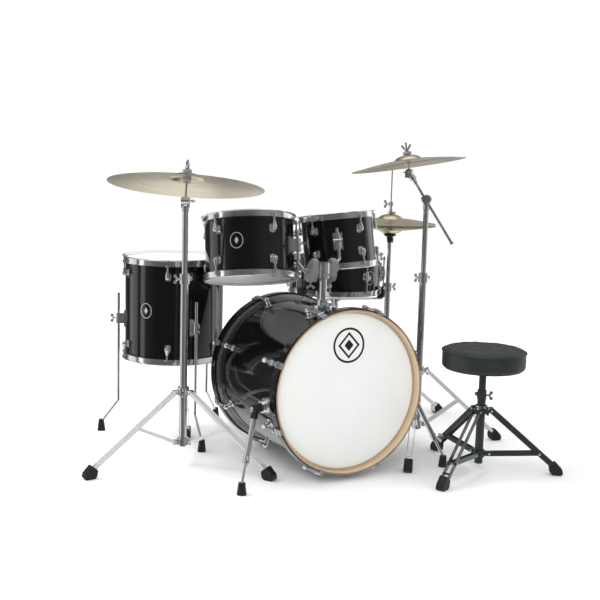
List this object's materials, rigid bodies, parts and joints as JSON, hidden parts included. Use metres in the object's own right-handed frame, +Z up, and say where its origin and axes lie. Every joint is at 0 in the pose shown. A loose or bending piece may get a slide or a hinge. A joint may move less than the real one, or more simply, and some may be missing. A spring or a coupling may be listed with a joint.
{
  "type": "acoustic drum kit",
  "caption": "Acoustic drum kit: bass drum with pedal, hanging and floor toms, snare, ride and crash cymbals, hi-hat and throne, on chromed stands.",
  "frame": {"origin": "on the floor, at the middle of the box round the whole kit", "axes": "+Z up, +Y from the bass drum's front towards the drummer, +X to the right as the audience sees the kit"},
  "size_m": [1.6015, 1.2487, 1.0972],
  "materials": {
    "shell_lacquer": "high-gloss black wrap over a wooden shell",
    "hoop_wood": "black gloss outside, clear-coated natural maple inside and on the front edge",
    "drumhead": "white coated polyester film",
    "cymbal_bronze": "lathed and polished bronze",
    "throne_enamel": "satin dark slate enamel",
    "seat_vinyl": "soft matt vinyl with a fine grain",
    "snare_steel": "bright drawn wire",
    "pedal_steel": "brushed and lightly polished",
    "chrome_hardware": "mirror chrome plate, with black rubber feet and grips"
  },
  "bodies": {
    "bass_drum": {"bass_shell": "shell_lacquer", "bass_hoops": "hoop_wood", "bass_heads": "drumhead", "bass_hardware": "chrome_hardware", "floor_tom_shell": "shell_lacquer", "floor_tom_hoops": "chrome_hardware", "floor_tom_heads": "drumhead", "floor_tom_hardware": "chrome_hardware", "snare_stand_base": "chrome_hardware", "ride_stand_base": "chrome_hardware", "crash_stand_base": "chrome_hardware", "hihat_stand_base": "chrome_hardware", "throne_base": "throne_enamel", "kick_pedal_frame": "pedal_steel"},
    "spur_left": {"spur_left": "chrome_hardware"},
    "spur_right": {"spur_right": "chrome_hardware"},
    "tom_holder": {"tom_holder": "chrome_hardware"},
    "left_tom": {"left_tom_arm": "chrome_hardware", "left_tom_shell": "shell_lacquer", "left_tom_hoops": "chrome_hardware", "left_tom_heads": "drumhead", "left_tom_hardware": "chrome_hardware"},
    "right_tom": {"right_tom_arm": "chrome_hardware", "right_tom_shell": "shell_lacquer", "right_tom_hoops": "chrome_hardware", "right_tom_heads": "drumhead", "right_tom_hardware": "chrome_hardware"},
    "floor_tom_leg_1": {"floor_tom_leg_1": "chrome_hardware"},
    "floor_tom_leg_2": {"floor_tom_leg_2": "chrome_hardware"},
    "floor_tom_leg_3": {"floor_tom_leg_3": "chrome_hardware"},
    "snare": {"snare_shell": "shell_lacquer", "snare_hoops": "chrome_hardware", "snare_heads": "drumhead", "snare_hardware": "chrome_hardware", "snare_wires": "snare_steel", "snare_basket": "chrome_hardware"},
    "ride_leg_collar": {"ride_leg_collar": "chrome_hardware"},
    "ride_leg_1": {"ride_leg_1": "chrome_hardware"},
    "ride_leg_2": {"ride_leg_2": "chrome_hardware"},
    "ride_leg_3": {"ride_leg_3": "chrome_hardware"},
    "ride_brace_1": {"ride_brace_1": "chrome_hardware"},
    "ride_brace_2": {"ride_brace_2": "chrome_hardware"},
    "ride_brace_3": {"ride_brace_3": "chrome_hardware"},
    "ride_upper_tube": {"ride_upper_tube": "chrome_hardware"},
    "ride_tilter": {"ride_tilter": "chrome_hardware"},
    "ride_cymbal": {"ride_cymbal": "cymbal_bronze"},
    "crash_upper_tube": {"crash_upper_tube": "chrome_hardware"},
    "crash_boom_arm": {"crash_boom_arm": "chrome_hardware"},
    "crash_tilter": {"crash_tilter": "chrome_hardware"},
    "crash_cymbal": {"crash_cymbal": "cymbal_bronze"},
    "hihat_upper": {"hihat_upper_tube": "chrome_hardware", "hihat_bottom_cymbal": "cymbal_bronze"},
    "hihat_pull": {"hihat_pull_rod": "chrome_hardware", "hihat_top_cymbal": "cymbal_bronze"},
    "hihat_pedal": {"hihat_footboard": "pedal_steel"},
    "throne_post": {"throne_post": "throne_enamel"},
    "throne_seat": {"throne_seat": "seat_vinyl"},
    "kick_footboard": {"kick_footboard": "pedal_steel"},
    "kick_chain": {"kick_chain": "pedal_steel"},
    "kick_beater": {"kick_beater": "chrome_hardware"}
  },
  "joints": [
    {"name": "spur_left_fold", "type": "hinge", "parent": "bass_drum", "child": "spur_left", "pos_m": [-0.3129, -0.291, 0.24566], "axis": [-0.989, 0, -0.1478], "range_deg": [-72, 0]},
    {"name": "spur_right_fold", "type": "hinge", "parent": "bass_drum", "child": "spur_right", "pos_m": [0.28051, -0.291, 0.24566], "axis": [0.989, 0, -0.1478], "range_deg": [0, 24]},
    {"name": "tom_post_height", "type": "slide", "parent": "bass_drum", "child": "tom_holder", "axis": [0, 0, 1], "range_m": [-0.01, 0.03]},
    {"name": "left_tom_tilt", "type": "hinge", "parent": "tom_holder", "child": "left_tom", "pos_m": [-0.0162, -0.158, 0.664], "axis": [1, 0, 0], "range_deg": [-4, 8]},
    {"name": "right_tom_tilt", "type": "hinge", "parent": "tom_holder", "child": "right_tom", "pos_m": [-0.0162, -0.158, 0.664], "axis": [1, 0, 0], "range_deg": [-4, 15]},
    {"name": "floor_tom_leg_1_height", "type": "slide", "parent": "bass_drum", "child": "floor_tom_leg_1", "axis": [0, 0, 1], "range_m": [-0.03, 0.12]},
    {"name": "floor_tom_leg_2_height", "type": "slide", "parent": "bass_drum", "child": "floor_tom_leg_2", "axis": [0, 0, 1], "range_m": [-0.03, 0.12]},
    {"name": "floor_tom_leg_3_height", "type": "slide", "parent": "bass_drum", "child": "floor_tom_leg_3", "axis": [0, 0, 1], "range_m": [-0.03, 0.12]},
    {"name": "snare_height", "type": "slide", "parent": "bass_drum", "child": "snare", "axis": [0, 0, 1], "range_m": [-0.05, 0.05]},
    {"name": "ride_tripod_fold", "type": "slide", "parent": "bass_drum", "child": "ride_leg_collar", "axis": [0, 0, 1], "range_m": [0, 0.152]},
    {"name": "ride_leg_1_swing", "type": "hinge", "parent": "ride_leg_collar", "child": "ride_leg_1", "pos_m": [-0.47803, -0.01124, 0.25], "axis": [0.1045, -0.9945, 0], "range_deg": [0, 45]},
    {"name": "ride_leg_2_swing", "type": "hinge", "parent": "ride_leg_collar", "child": "ride_leg_2", "pos_m": [-0.42898, -0.03308, 0.25], "axis": [0.809, 0.5878, 0], "range_deg": [0, 45]},
    {"name": "ride_leg_3_swing", "type": "hinge", "parent": "ride_leg_collar", "child": "ride_leg_3", "pos_m": [-0.43459, 0.02032, 0.25], "axis": [-0.9135, 0.4067, 0], "range_deg": [0, 45]},
    {"name": "ride_brace_1_swing", "type": "hinge", "parent": "bass_drum", "child": "ride_brace_1", "pos_m": [-0.47704, -0.01114, 0.08], "axis": [0.1045, -0.9945, 0], "range_deg": [-55.5, 0]},
    {"name": "ride_brace_2_swing", "type": "hinge", "parent": "bass_drum", "child": "ride_brace_2", "pos_m": [-0.42957, -0.03227, 0.08], "axis": [0.809, 0.5878, 0], "range_deg": [-55.5, 0]},
    {"name": "ride_brace_3_swing", "type": "hinge", "parent": "bass_drum", "child": "ride_brace_3", "pos_m": [-0.435, 0.01941, 0.08], "axis": [-0.9135, 0.4067, 0], "range_deg": [-55.5, 0]},
    {"name": "ride_height", "type": "slide", "parent": "bass_drum", "child": "ride_upper_tube", "axis": [0, 0, 1], "range_m": [-0.04, 0.2]},
    {"name": "ride_tilt", "type": "hinge", "parent": "ride_upper_tube", "child": "ride_tilter", "pos_m": [-0.4472, -0.008, 0.886], "axis": [-0.8, 0.6, 0], "range_deg": [-30, 8]},
    {"name": "ride_spin", "type": "hinge", "parent": "ride_tilter", "child": "ride_cymbal", "pos_m": [-0.4472, -0.008, 0.886], "axis": [0.114, 0.152, 0.9818], "continuous": true},
    {"name": "crash_height", "type": "slide", "parent": "bass_drum", "child": "crash_upper_tube", "axis": [0, 0, 1], "range_m": [-0.04, 0.15]},
    {"name": "crash_boom_tilt", "type": "hinge", "parent": "crash_upper_tube", "child": "crash_boom_arm", "pos_m": [0.4208, -0.122, 0.899], "axis": [-0.7071, -0.7071, 0], "range_deg": [-25, 10]},
    {"name": "crash_tilt", "type": "hinge", "parent": "crash_boom_arm", "child": "crash_tilter", "pos_m": [0.36373, -0.09109, 0.99214], "axis": [-0.7924, -0.61, 0], "range_deg": [-25, 15]},
    {"name": "crash_spin", "type": "hinge", "parent": "crash_tilter", "child": "crash_cymbal", "pos_m": [0.36373, -0.09109, 0.99214], "axis": [-0.1069, 0.1389, 0.9845], "continuous": true},
    {"name": "hihat_height", "type": "slide", "parent": "bass_drum", "child": "hihat_upper", "axis": [0, 0, 1], "range_m": [-0.02, 0.05]},
    {"name": "hihat_pedal_press", "type": "hinge", "parent": "bass_drum", "child": "hihat_pedal", "pos_m": [0.5128, 0.515, 0.022], "axis": [1, 0, 0], "range_deg": [0, 1.5], "stiffness_Nm_per_rad": 12, "springref_deg": -22.92},
    {"name": "hihat_pull_travel", "type": "slide", "parent": "hihat_upper", "child": "hihat_pull", "axis": [0, 0, 1], "range_m": [-0.0066, 0]},
    {"name": "throne_height", "type": "slide", "parent": "bass_drum", "child": "throne_post", "axis": [0, 0, 1], "range_m": [-0.04, 0.1]},
    {"name": "throne_seat_spin", "type": "hinge", "parent": "throne_post", "child": "throne_seat", "pos_m": [0.4458, -0.461, 0.372], "axis": [0, 0, 1], "continuous": true},
    {"name": "kick_pedal_press", "type": "hinge", "parent": "bass_drum", "child": "kick_footboard", "pos_m": [-0.0162, 0.433, 0.022], "axis": [1, 0, 0], "range_deg": [0, 4.6], "stiffness_Nm_per_rad": 20, "springref_deg": -11.46},
    {"name": "kick_chain_hang", "type": "hinge", "parent": "kick_footboard", "child": "kick_chain", "pos_m": [-0.0162, 0.2113, 0.086], "axis": [1, 0, 0], "range_deg": [-7, 0]},
    {"name": "kick_beater_swing", "type": "hinge", "parent": "bass_drum", "child": "kick_beater", "pos_m": [-0.0162, 0.183, 0.19], "axis": [1, 0, 0], "range_deg": [0, 41.5]}
  ],
  "couplings": [
    {"joint": "ride_leg_1_swing", "follows": "ride_tripod_fold", "rad_per_m": 5.1358},
    {"joint": "ride_leg_2_swing", "follows": "ride_tripod_fold", "rad_per_m": 5.1358},
    {"joint": "ride_leg_3_swing", "follows": "ride_tripod_fold", "rad_per_m": 5.1358},
    {"joint": "ride_brace_1_swing", "follows": "ride_tripod_fold", "rad_per_m": -6.3368},
    {"joint": "ride_brace_2_swing", "follows": "ride_tripod_fold", "rad_per_m": -6.3368},
    {"joint": "ride_brace_3_swing", "follows": "ride_tripod_fold", "rad_per_m": -6.3368},
    {"joint": "hihat_pull_travel", "follows": "hihat_pedal_press", "m_per_rad": -0.243},
    {"joint": "kick_chain_hang", "follows": "kick_pedal_press", "ratio": -1.5},
    {"joint": "kick_beater_swing", "follows": "kick_pedal_press", "ratio": 9}
  ]
}
